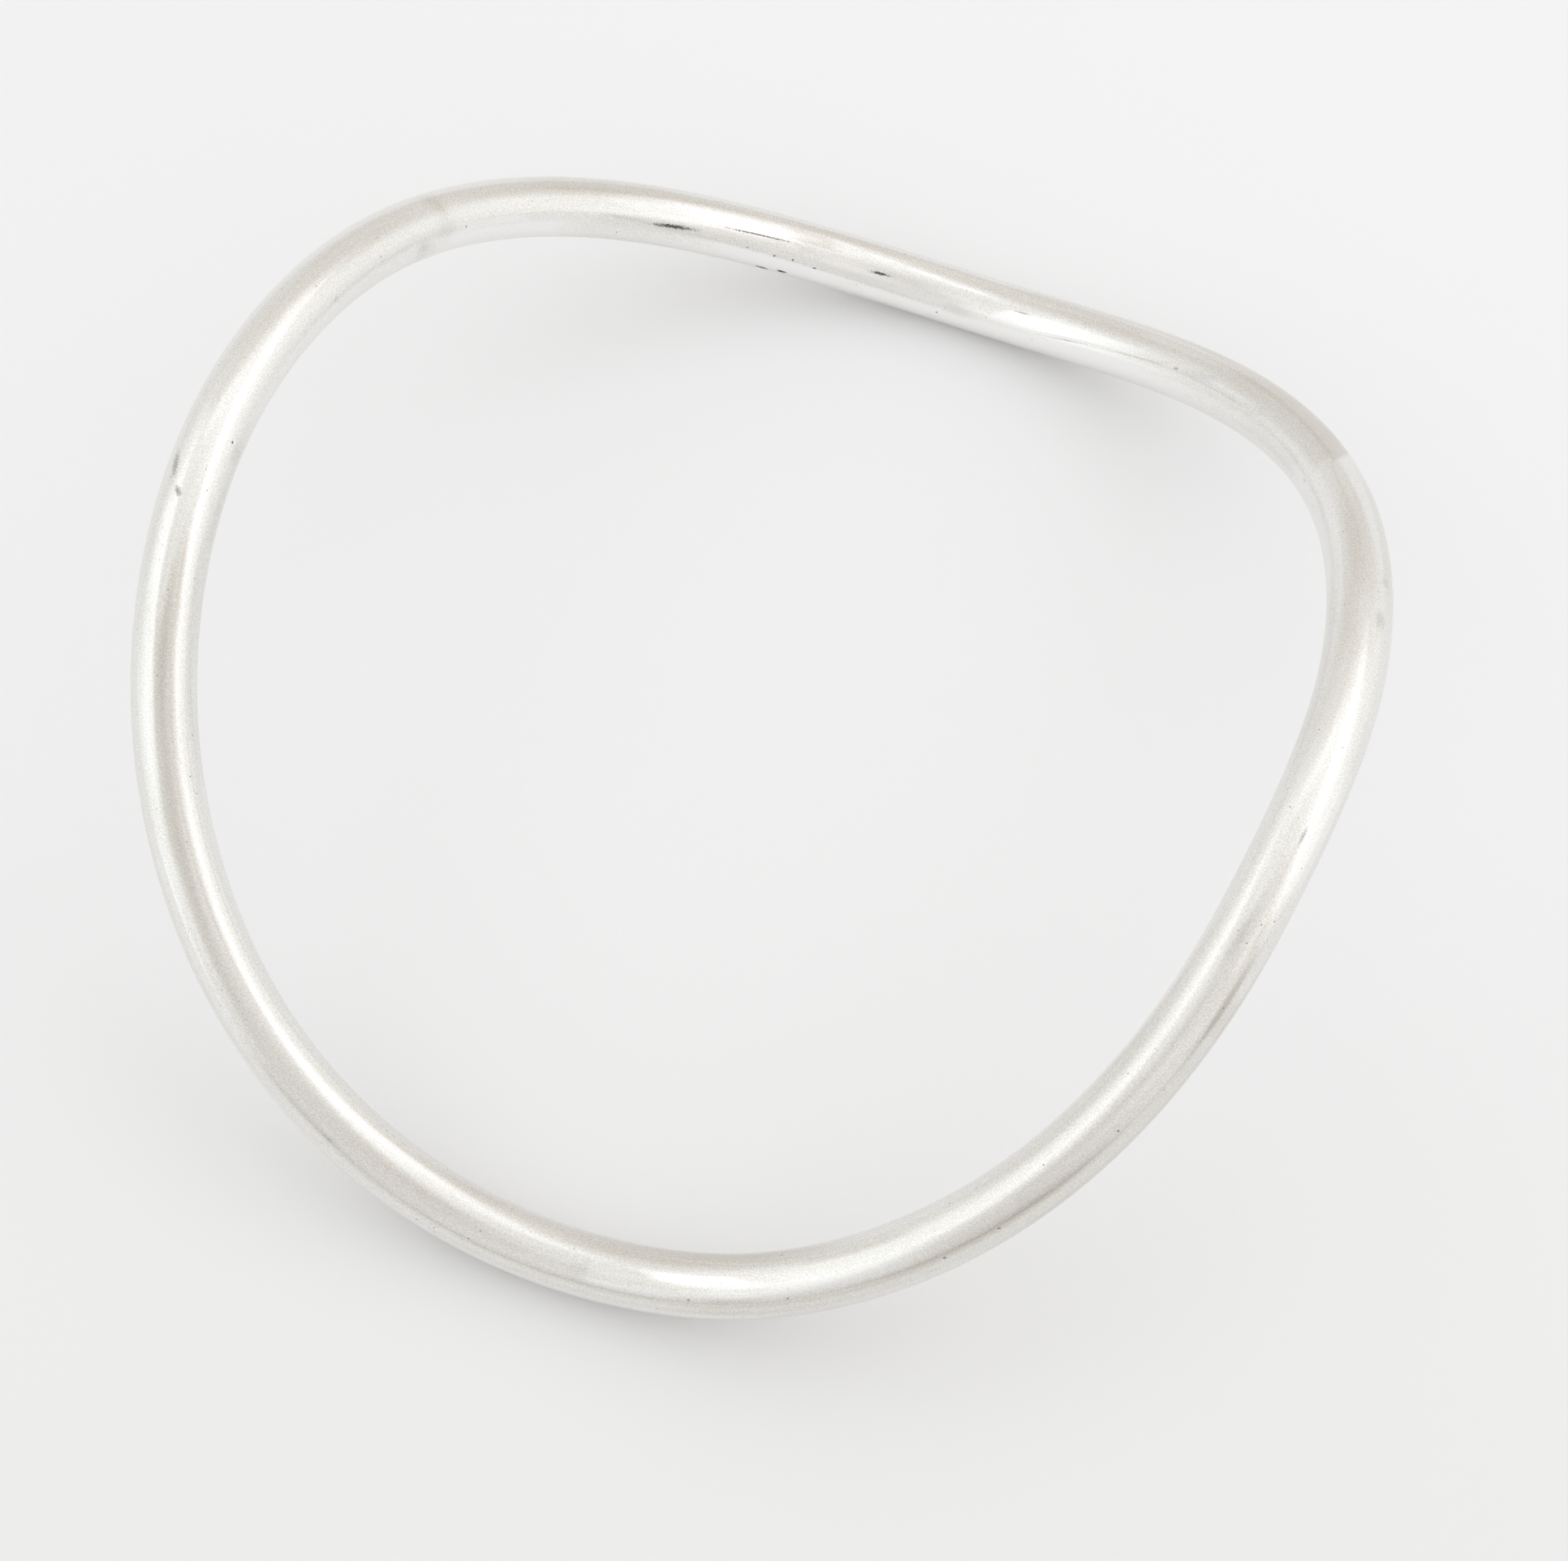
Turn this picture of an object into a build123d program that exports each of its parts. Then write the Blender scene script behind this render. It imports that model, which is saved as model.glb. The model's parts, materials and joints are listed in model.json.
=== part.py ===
from build123d import *
import math
import os

# A silver bangle made of one closed loop of round tube, its two ends soldered to each other.
# The loop is bent out of flat into a two-fold saddle wave. It rests on two opposite low places,
# at +Y and -Y, and lifts to two opposite high places, at +X and -X. Seen from above it is a rounded
# square, a little narrower from high place to high place. Millimetres, +Z up, and the surface that
# the bangle rests on is z = 0, with the origin under the middle of the hand opening.

# The tube
tube_diameter = 3.8
tube_wall = 0.45

# The clear hand opening, seen from above: between the high places, between the low places, and
# between opposite shoulders, which are half-way between a high place and a low one
opening_at_highs = 62.8
opening_at_lows = 67.7
opening_at_shoulders = 68.5

# How far the high places stand above the low ones
wave_rise = 21.1

# The bent route passes exactly through this many points, evenly spaced in angle, with two tangent
# arcs from each point to the next
route_points = 12

# The step in angle, in radians, that the route's direction is measured over
direction_step = 1e-4

part_node = "bangle_tube"


def centre_radius(angle):
    """Distance from the loop's axis to the tube's centre line, at an angle from the +X high place."""
    at_highs = (opening_at_highs + tube_diameter) / 2
    at_lows = (opening_at_lows + tube_diameter) / 2
    at_shoulders = (opening_at_shoulders + tube_diameter) / 2
    mean = (at_highs + at_lows) / 4 + at_shoulders / 2
    oval = (at_highs - at_lows) / 2
    square = (at_highs + at_lows) / 4 - at_shoulders / 2
    return mean + oval * math.cos(2 * angle) + square * math.cos(4 * angle)


def centre_height(angle):
    """Height of the tube's centre line above z = 0: one wave for each half turn."""
    return tube_diameter / 2 + wave_rise * (1 + math.cos(2 * angle)) / 2


def centre_point(angle):
    """Point of the tube's centre line at an angle from the +X high place."""
    radius = centre_radius(angle)
    return Vector(radius * math.cos(angle), radius * math.sin(angle), centre_height(angle))


def centre_direction(angle):
    """Unit direction of the centre line there, counter-clockwise seen from above."""
    return (centre_point(angle + direction_step) - centre_point(angle - direction_step)).normalized()


def arc_pair(from_angle, to_angle):
    """The two tangent arcs that join two points of the centre line and keep its direction at both."""
    start, end = centre_point(from_angle), centre_point(to_angle)
    start_direction, end_direction = centre_direction(from_angle), centre_direction(to_angle)
    chord = end - start
    along = chord.dot(start_direction + end_direction)
    bend = 2 * (1 - start_direction.dot(end_direction))
    tangent_length = (math.sqrt(along**2 + bend * chord.dot(chord)) - along) / bend
    start_corner = start + start_direction * tangent_length
    end_corner = end - end_direction * tangent_length
    meeting = (start_corner + end_corner) / 2
    return [
        TangentArc(start, meeting, tangent=start_direction).edge(),
        TangentArc(meeting, end, tangent=end_corner - start_corner).edge(),
    ]


def centre_line():
    """The tube's closed route, a smooth chain of tangent arcs."""
    step = math.tau / route_points
    arcs = [arc for point in range(route_points) for arc in arc_pair(point * step, (point + 1) * step)]
    radii = [arc.radius for arc in arcs]
    print(f"route: {len(arcs)} arcs, radii {min(radii):.1f} to {max(radii):.1f} mm")
    return Wire(arcs)


def tube_section(route):
    """The ring-shaped cut through the tube, square to the start of its route."""
    bore_diameter = tube_diameter - 2 * tube_wall
    ring = Circle(tube_diameter / 2) - Circle(bore_diameter / 2)
    return Plane(origin=route @ 0, z_dir=route % 0) * ring


def bangle_tube():
    """The hollow tube, closed on itself."""
    route = centre_line()
    section = tube_section(route)
    tube = sweep(section, path=route)
    print(f"tube: route {route.length:.1f} mm long, volume {tube.volume:.1f} mm3,"
          f" section times length {section.area * route.length:.1f} mm3")
    return tube


os.makedirs("parts", exist_ok=True)
export_step(bangle_tube(), f"parts/{part_node}.step")
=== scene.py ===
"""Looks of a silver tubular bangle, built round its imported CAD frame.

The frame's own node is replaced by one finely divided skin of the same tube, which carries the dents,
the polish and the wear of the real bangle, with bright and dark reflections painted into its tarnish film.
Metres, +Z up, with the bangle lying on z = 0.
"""
import json
import math
from bisect import bisect
from itertools import accumulate
from typing import NamedTuple

import bpy
import numpy as np
from mathutils import Matrix, Vector, noise


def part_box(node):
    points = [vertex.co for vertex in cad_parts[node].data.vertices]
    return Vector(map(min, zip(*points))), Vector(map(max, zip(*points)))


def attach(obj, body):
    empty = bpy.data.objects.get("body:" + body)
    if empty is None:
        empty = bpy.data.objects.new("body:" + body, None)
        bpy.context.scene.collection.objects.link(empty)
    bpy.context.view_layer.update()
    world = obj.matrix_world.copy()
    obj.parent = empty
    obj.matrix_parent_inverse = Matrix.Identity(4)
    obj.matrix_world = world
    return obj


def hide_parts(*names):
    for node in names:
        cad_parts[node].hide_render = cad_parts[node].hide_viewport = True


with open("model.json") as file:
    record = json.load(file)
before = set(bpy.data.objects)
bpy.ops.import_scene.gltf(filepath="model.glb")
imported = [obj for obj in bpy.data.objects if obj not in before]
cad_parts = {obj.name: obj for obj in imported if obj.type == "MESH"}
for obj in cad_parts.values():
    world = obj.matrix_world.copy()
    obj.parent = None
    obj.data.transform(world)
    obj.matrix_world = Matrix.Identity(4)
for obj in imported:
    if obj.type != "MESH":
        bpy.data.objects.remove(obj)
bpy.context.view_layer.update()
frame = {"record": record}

bl_info = {
    "name": "Silver tubular bangle",
    "version": (1, 0, 0),
    "blender": (4, 5, 0),
    "location": "3D View > Sidebar > Bangle",
    "description": "Makes the worn silver skin of a wavy tubular bangle and its pale studio",
    "category": "Object",
}

TUBE_NODE = "bangle_tube"
SKIN_MAP = "tube_skin"
MM = 0.001

record = frame["record"]
tube_low, tube_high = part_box(TUBE_NODE)
clip = next(mount for mount in record["mounts"] if mount["name"] == "tube_clip")
record_diameter = 2 * clip["dims"]["r_mm"] * MM


# Places on the tube

# A place is given by its loop angle, from the +X high place, and its skin angle round the tube: 0 faces
# outward, 90 up and 180 into the hand opening. Both are in degrees. The skin map starts at these two
# angles, on a plain stretch of the loop and along the underside.
MAP_LOOP_START = -30
MAP_SKIN_START = -90


class HandBend(NamedTuple):
    """How far the hand-bent tube stands outside its true wave, in millimetres, at a loop angle."""

    loop: float
    outward: float


# The turning points of the tube's wander, read off both of its edges
HAND_BENDS = (
    HandBend(5, 0.16),
    HandBend(29, -0.19),
    HandBend(57, 0.16),
    HandBend(84, -0.13),
    HandBend(98, -0.09),
    HandBend(107, -0.1),
    HandBend(144, 0.15),
    HandBend(167, -0.12),
    HandBend(189, 0.04),
    HandBend(222, -0.08),
    HandBend(243, 0.02),
    HandBend(273, -0.17),
    HandBend(292, 0.02),
    HandBend(308, 0.01),
    HandBend(343, -0.12),
)


class WearMark(NamedTuple):
    """A dark mark on the silver: its place, its size in millimetres and how dark and sharp it is."""

    loop: float
    skin: float
    length: float
    width: float
    turn: float
    darkness: float
    softness: float


# Turn is in degrees from the run of the tube, towards larger skin angles
TARNISH_MARKS = (
    # Dashes along the inner face of the +Y low place
    WearMark(121.6, 146, 2.6, 0.24, 3, 0.9, 0.7),
    WearMark(127.0, 144, 3.0, 0.2, -2, 0.18, 0.9),
    WearMark(112.7, 122.5, 4.2, 0.08, 2.4, 0.8, 0.6),
    WearMark(111.0, 200, 0.8, 0.26, 0, 0.9, 0.6),
    WearMark(109.0, 193, 0.6, 0.26, 0, 0.95, 0.5),
    WearMark(99.0, 126, 1.2, 0.16, 4, 0.9, 0.7),
    WearMark(113.5, 153, 0.18, 0.1, 0, 0.75, 0.5),
    WearMark(110.5, 155, 0.18, 0.1, 0, 0.75, 0.5),
    WearMark(108.5, 152, 0.12, 0.12, 0, 0.75, 0.5),
    WearMark(106.0, 156, 0.25, 0.1, 0, 0.8, 0.5),
    WearMark(91.7, 169, 0.12, 0.12, 0, 0.8, 0.6),
    WearMark(89.4, 150, 2.0, 0.6, 0, 0.13, 0.95),
    WearMark(82.0, 116, 0.85, 0.07, 0, 0.6, 0.6),
    # A long hairline towards the +X high place, with its darker spots
    WearMark(76.5, 144, 3.0, 0.06, 4, 0.4, 0.7),
    WearMark(68.0, 136, 6.0, 0.06, 3, 0.25, 0.9),
    WearMark(62.5, 130, 0.35, 0.14, 0, 0.45, 0.7),
    WearMark(59.2, 125, 2.4, 0.4, 4, 0.13, 0.95),
    # Round the +X high place
    WearMark(38.0, 153, 0.3, 0.2, 0, 0.2, 0.9),
    WearMark(20.0, 46, 0.6, 0.5, 0, 0.16, 0.95),
    WearMark(14.7, 56, 1.1, 0.55, 0, 0.2, 0.95),
    WearMark(350.7, 69, 0.8, 0.2, 0, 0.36, 0.75),
    WearMark(340.8, 84, 2.6, 0.45, 0, 0.16, 0.95),
    # Low place at -Y
    WearMark(323.0, 43, 0.16, 0.12, 0, 0.6, 0.6),
    WearMark(311.5, 35, 0.2, 0.12, 0, 0.55, 0.6),
    WearMark(306.7, 33, 0.16, 0.12, 0, 0.6, 0.6),
    WearMark(293.5, 43, 0.16, 0.12, 0, 0.6, 0.6),
    WearMark(284.7, 44, 0.2, 0.1, 0, 0.6, 0.6),
    WearMark(274.5, 73, 1.1, 0.3, 90, 0.07, 0.95),
    WearMark(247.7, 44, 0.6, 0.14, 0, 0.3, 0.85),
    # High place at -X
    WearMark(191.8, 79, 0.5, 0.28, 35, 0.5, 0.75),
    WearMark(189.4, 57, 1.3, 0.36, 14, 0.43, 0.9),
    WearMark(185.5, 144, 0.14, 0.14, 0, 0.8, 0.6),
    WearMark(164.5, 155, 0.5, 0.2, 0, 0.2, 0.9),
    # Cross marks half-way to the +Y low place
    WearMark(150.7, 165, 1.0, 0.9, 0, 0.1, 0.95),
    WearMark(147.2, 81, 0.5, 0.5, 0, 0.35, 0.95),
    WearMark(147.3, 104, 1.2, 0.4, 90, 0.08, 0.95),
    WearMark(145.0, 152, 0.12, 0.12, 0, 0.8, 0.6),
)


# Stains have a softer rim than this. The marks of one layer lie apart, so a face carries one of them at most.
STAIN_SOFTNESS = 0.75
MARK_LAYERS = {
    "stain": tuple(mark for mark in TARNISH_MARKS if mark.softness > STAIN_SOFTNESS),
    "dash": tuple(mark for mark in TARNISH_MARKS if mark.softness <= STAIN_SOFTNESS),
}


class FilmAndReflectionPatch(NamedTuple):
    """A patch where the tarnish film is thicker, or thinner if its amount is negative.

    Its places, half sizes and edges are in degrees, and its amount is a share of a full film. The patch is
    lean degrees further along the loop for each degree round the tube. Its low and high ends along the loop,
    and its two sides, each fade out over their own edge. Some patches are real tarnish and wear. Others paint
    reflections into the film: less film gives a painted bright reflection, and more film gives a painted dark
    one.
    """

    name: str
    loop: float
    skin: float
    half_loop: float
    half_skin: float
    lean: float
    low_edge: float
    high_edge: float
    side_edge: float
    amount: float


# Some of these patches are real tarnish and wear. Others are painted reflections: less film paints a bright
# reflection of the room or table, and more film paints a dark one.
FILM_AND_REFLECTION_PATCHES = (
    FilmAndReflectionPatch("rubbed inner side all round", 0, 192, 200, 40, 0, 10, 10, 14, -0.12),
    # The +Y low place
    # Painted reflection: less film here brightens the tube's reflection of the table beside its contact
    # shadow.
    FilmAndReflectionPatch("painted bright reflection on the inner side", 90, 183, 28, 30, 0, 12, 16, 8, -0.35),
    FilmAndReflectionPatch("worn bright top", 96, 134, 10, 15, 0, 6, 6, 8, -0.3),
    FilmAndReflectionPatch("worn line below the dashes", 95, 97, 1.6, 8, -1.25, 2, 2, 4, -0.35),
    FilmAndReflectionPatch("worn edge of the top", 88, 148, 25, 4, 0, 8, 6, 4, -0.25),
    # Painted highlight: less film here whitens the window's reflection on the lobe.
    FilmAndReflectionPatch("painted window highlight", 77, 132, 8, 16, 0.1, 6, 0.6, 5, -0.3),
    FilmAndReflectionPatch("dull spot beside the painted window highlight", 85.5, 128, 1.5, 7, 0, 2, 2, 5, 0.2),
    FilmAndReflectionPatch("dull line along the inner side", 106, 155.5, 15, 2.2, 0, 8, 8, 5, 0.6),
    FilmAndReflectionPatch("worn inner side at the shoulder", 141, 187, 8, 25, 0, 6, 5, 10, -0.25),
    FilmAndReflectionPatch("worn spot at the shoulder", 142, 151, 4, 6, 0, 3, 3, 5, -0.3),
    FilmAndReflectionPatch("dull spot at the shoulder", 150, 180, 1.5, 18, 0, 2, 2, 8, 0.25),
    FilmAndReflectionPatch("film over the shoulder", 127, 108, 8, 20, 0, 8, 8, 10, 0.16),
    FilmAndReflectionPatch("cross line at the shoulder", 147.5, 125, 0.8, 65, 0, 2, 2, 20, 0.22),
    FilmAndReflectionPatch("stain round the first dash", 124.5, 156, 6, 8, 0, 6, 6, 8, 0.25),
    FilmAndReflectionPatch("dull inner side before the shoulder", 124, 171, 9, 8, 0, 8, 8, 10, 0.1),
    FilmAndReflectionPatch("film along the top", 112, 88, 26, 9, 0, 14, 14, 10, 0.22),
    FilmAndReflectionPatch("thicker film at the shoulder", 134, 101, 9, 9, 0, 10, 10, 10, 0.22),
    FilmAndReflectionPatch("film before the shoulder", 115.5, 92, 4.5, 7, 0, 4, 4, 6, 0.2),
    FilmAndReflectionPatch("film low on the shoulder", 129, 68, 8, 9, 0, 8, 8, 8, 0.2),
    FilmAndReflectionPatch("thicker film past the dashes", 107, 100, 2.5, 12, 0, 3, 3, 6, 0.48),
    FilmAndReflectionPatch("film low past the dashes", 103, 74, 6, 8, 0, 6, 6, 6, 0.15),
    FilmAndReflectionPatch("film between the lobe and the seam", 75, 103, 9, 14, 0, 8, 8, 10, 0.17),
    FilmAndReflectionPatch("film beside the bright line", 90, 88, 6, 5, 0, 6, 6, 5, 0.1),
    FilmAndReflectionPatch("film below the lobe", 71, 60, 12, 6, 0, 6, 6, 6, 0.25),
    FilmAndReflectionPatch("worn spot past the seam", 62, 84, 6, 8, 0, 5, 5, 8, -0.25),
    # The solder seam and the +X high place
    FilmAndReflectionPatch("brown film up to the solder seam", 50.5, 60, 11.7, 28, -0.05, 0.4, 18, 14, 0.42),
    FilmAndReflectionPatch("darkest film at the solder seam", 45.5, 60, 6.7, 18, -0.05, 0.4, 8, 8, 0.18),
    FilmAndReflectionPatch("thinner film over the solder seam", 48, 108, 10, 22, -0.02, 0.4, 8, 10, 0.15),
    FilmAndReflectionPatch("worn top beyond the solder seam", 33.5, 108, 4.7, 9, -0.02, 6, 0.4, 6, -0.12),
    FilmAndReflectionPatch("dark edge of the solder seam", 43, 48, 1.5, 12, 0, 2, 2, 8, 0.25),
    FilmAndReflectionPatch("worn side beyond the solder seam", 34, 86, 4.8, 6, -0.05, 6, 0.4, 6, -0.15),
    FilmAndReflectionPatch("worn spot before the seam", 55.5, 125, 4, 5, 0, 4, 4, 5, -0.24),
    FilmAndReflectionPatch("film inside the seam", 47, 165, 5, 10, 0, 3, 5, 8, 0.15),
    FilmAndReflectionPatch("worn inner side at +X", 30, 162, 10, 24, 0, 8, 3, 10, -0.25),
    FilmAndReflectionPatch("film on the inner side at +X", 12, 148, 13, 14, 0, 8, 8, 8, 0.15),
    FilmAndReflectionPatch("worn inner side past the seam", 52, 192, 14, 14, 0, 6, 10, 8, -0.1),
    FilmAndReflectionPatch("film under the outer side at +X", 27, 34, 9, 15, 0, 10, 5, 8, 0.24),
    FilmAndReflectionPatch("film on the outer side at +X", 7, 84, 3, 6, 0, 5, 5, 6, 0.15),
    FilmAndReflectionPatch("worn outer side at +X", 15, 80, 2.5, 16, 0, 3, 3, 8, -0.15),
    FilmAndReflectionPatch("worn top at +X", 1, 112, 9, 10, 0, 7, 7, 8, -0.18),
    FilmAndReflectionPatch("worn line on the inner side at +X", 24, 147, 24, 2.5, 0, 10, 10, 6, -0.25),
    FilmAndReflectionPatch("film on the top at +X", 26, 98, 6, 12, 0, 6, 6, 10, 0.15),
    # The -X high place
    FilmAndReflectionPatch("film along the top before -X", 165, 104, 15, 11, 0, 8, 8, 8, 0.14),
    FilmAndReflectionPatch("dull spot before -X", 181, 88, 2.5, 7, 0, 3, 3, 5, 0.1),
    FilmAndReflectionPatch("worn spot before -X", 169, 72, 5, 8, 0, 4, 4, 5, -0.12),
    FilmAndReflectionPatch("worn rim before -X", 163, 180, 18, 20, 0, 8, 8, 8, -0.08),
    FilmAndReflectionPatch("dull spot on the rim at -X", 186, 166, 1, 13, 0, 2, 2, 6, 0.25),
    FilmAndReflectionPatch("dull rim at -X", 189, 168, 6, 12, 0, 5, 5, 8, 0.16),
    FilmAndReflectionPatch("worn spot at -X", 197, 66, 4, 8, 0, 3, 3, 5, -0.2),
    FilmAndReflectionPatch("film on the inner side at -X", 200, 158, 8, 18, -0.3, 5, 8, 10, 0.2),
    FilmAndReflectionPatch("film spot on the rim past -X", 213, 160, 3, 12, 0, 4, 4, 8, 0.2),
    # The patches named as painted dark reflections add film here, which paints the darker walls and ceiling
    # that the tube mirrors beside its bright lines.
    FilmAndReflectionPatch("painted dark reflection from the top down to the outer side", 219.5, 80, 10, 38, -0.6, 7, 7, 7, 0.23),
    FilmAndReflectionPatch("painted dark reflection below the bright line of the top", 217, 106.5, 8, 11, -1.6, 6, 6, 5, 0.28),
    FilmAndReflectionPatch("painted dark reflection above the outer bright line", 204, 82, 7, 4, -1, 6, 6, 5, 0.28),
    FilmAndReflectionPatch("film spot on the top at -X", 200, 116, 3.5, 5, 0, 4, 4, 6, 0.35),
    FilmAndReflectionPatch("painted dark reflection across the top at -X", 205, 95, 4, 13, -0.25, 5, 5, 8, 0.18),
    FilmAndReflectionPatch("film on the outer side at -X", 219, 62, 3, 12, 0, 5, 5, 8, 0.12),
    FilmAndReflectionPatch("film on the top past -X", 214, 119, 4, 9, 0, 5, 5, 8, 0.12),
    FilmAndReflectionPatch("film low on the outer side at -X", 200, 46, 6, 8, 0, 6, 6, 8, 0.1),
    FilmAndReflectionPatch("worn outer side past -X", 229, 38, 9, 12, 0, 6, 6, 8, -0.15),
    FilmAndReflectionPatch("worn rim past -X", 225, 168, 16, 14, 0, 8, 8, 8, -0.1),
    # The -Y low place
    # Painted reflection: less film here brightens the tube's reflection of the table beside its contact
    # shadow.
    FilmAndReflectionPatch("painted bright reflection on the underside", 262, 0, 28, 12, 0, 8, 8, 8, -0.35),
    FilmAndReflectionPatch("film along the underside", 326, -1, 15, 11, 0, 10, 8, 8, 0.34),
    FilmAndReflectionPatch("film along the top before -Y", 247, 114, 16, 8, 0, 10, 10, 6, 0.16),
    FilmAndReflectionPatch("worn rim at -Y", 315, 153, 26, 9, 0, 12, 12, 8, -0.15),
    FilmAndReflectionPatch("film along the outer side before -Y", 244, 40, 5, 6, 0, 6, 5, 6, 0.14),
    FilmAndReflectionPatch("film along the outer side", 285, 35, 36, 5, 0, 8, 8, 6, 0.3),
    FilmAndReflectionPatch("thick film along the outer side", 308, 24, 24, 12, 0, 8, 6, 6, 0.2),
    FilmAndReflectionPatch("film low on the outer side", 277, 17, 18, 9, 0, 14, 14, 10, 0.15),
    FilmAndReflectionPatch("film along the inner side", 269, 134, 11, 8, 0, 10, 12, 8, 0.28),
    FilmAndReflectionPatch("film along the top of -Y", 285, 121, 13, 18, 0, 14, 14, 16, 0.2),
    FilmAndReflectionPatch("thick film along the inner side", 288, 134, 8, 12, -0.1, 12, 10, 10, 0.41),
    FilmAndReflectionPatch("worn spot on the top before -Y", 249, 94, 5, 3, 0, 5, 5, 5, -0.2),
    FilmAndReflectionPatch("thin film all over", 290, 95, 50, 50, 0, 20, 20, 15, 0.08),
    FilmAndReflectionPatch("worn outer side at -Y", 295, 60, 9, 12, 0, 8, 8, 8, -0.31),
    FilmAndReflectionPatch("worn spot low at -Y", 279, 47, 5, 4, 0, 4, 4, 5, -0.25),
    FilmAndReflectionPatch("film round the painted blob highlight", 285.5, 77, 7.5, 18, 0, 6, 6, 8, 0.22),
    # Painted highlight: much less film here whitens a small window's reflection.
    FilmAndReflectionPatch("painted blob highlight", 285.5, 79, 4.5, 8, -0.2, 4, 3, 8, -0.7),
    # Less film in a narrow band across the tube, with more film along its edge.
    FilmAndReflectionPatch("lighter square", 277, 60, 2.4, 20, 0, 0.8, 4, 6, -0.06),
    FilmAndReflectionPatch("dark edge of the lighter square", 273.7, 55, 0.9, 16, 0, 1, 1.5, 6, 0.17),
    FilmAndReflectionPatch("dark spot below the painted blob highlight", 289, 44, 2, 3, 0, 2, 2, 4, 0.25),
    FilmAndReflectionPatch("film on the top", 322, 120, 10, 18, 0, 8, 8, 8, 0.12),
    FilmAndReflectionPatch("film on the inner side before +X", 333, 136, 8, 8, 0, 8, 8, 6, 0.18),
    FilmAndReflectionPatch("film spot on the top", 300, 101, 5, 6, 0, 3, 3, 5, 0.25),
    FilmAndReflectionPatch("film across the underside", 334.5, 20, 1.5, 20, 0, 3, 3, 8, 0.25),
    FilmAndReflectionPatch("long brown smudge", 310.5, 40.5, 9.5, 4, 0, 12, 12, 12, 0.52),
    FilmAndReflectionPatch("short brown smudge", 336, 40, 3.5, 4.5, 0, 6, 6, 13, 0.65),
    FilmAndReflectionPatch("worn line on the outer side", 328, 76, 12, 4, 0, 6, 6, 5, -0.09),
    FilmAndReflectionPatch("worn top before +X", 337, 85, 7, 9, 0.5, 4, 4, 6, -0.2),
    FilmAndReflectionPatch("film towards +X", 341, 52, 3, 20, 0.43, 3, 3, 6, 0.25),
    FilmAndReflectionPatch("worn outer side before +X", 351.5, 37, 5.5, 12, 0, 5, 5, 7, -0.27),
)


# Texture of the silver

# Noise cells of the skin's waviness in a metre
WAVINESS_SCALE = 160

# Ragged rims of the marks: noise cells in a millimetre, how far the noise moves a rim, and how far from its
# middle a mark with a hard rim is drawn, the last two in half sizes of the mark
RAGGED_SCALE = 9
RAGGED_SHARE = 2.5
RAGGED_REACH = 2

# Dark specks: the size of a cell and a speck's mean radius in millimetres, the share of the cells that have
# a speck, and how dark it is
SPECK_SPACING = 0.55
SPECK_SIZE = 0.05
SPECK_SHARE = 0.45
SPECK_DARKNESS = 0.55

# The smallest speck as a share of the mean one, and a speck's dark core as a share of the speck
SPECK_LEAST = 0.5
SPECK_CORE = 0.4

# Hairlines: noise cells in a millimetre along the tube and round it, and how much they change the film and
# the roughness
HAIRLINES_ALONG = 0.12
HAIRLINES_AROUND = 9
HAIRLINE_FILM = 0.25
HAIRLINE_ROUGHNESS = 0.06

# Grain of the film: noise cells in a millimetre, and how much it changes the film
GRAIN_SCALE = 10
GRAIN_FILM = 1.5

# How much rougher the silver is under full tarnish
TARNISH_ROUGHNESS = 0.35

# Where the scuffing of the inner side starts, is full, fades and ends, in millimetres round the tube from its
# underside
SCUFF_START = 7.2
SCUFF_FULL = 8
SCUFF_FADE = 10.2
SCUFF_END = 11.6

QUARTER_TURN = 0.25


# Light of the room

# The dome of the room has this many sides round it and levels up to its top
ROOM_SIDES = 360
ROOM_LEVELS = 160

# No part of the room is darker than this
LEAST_LIGHT = 0.02


class RoomCard(NamedTuple):
    """A soft-edged patch of the room: where it is, its half sizes in degrees and what it adds."""

    name: str
    azimuth: float
    elevation: float
    roll: float
    half_width: float
    half_height: float
    edge: float
    glow: tuple


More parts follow.
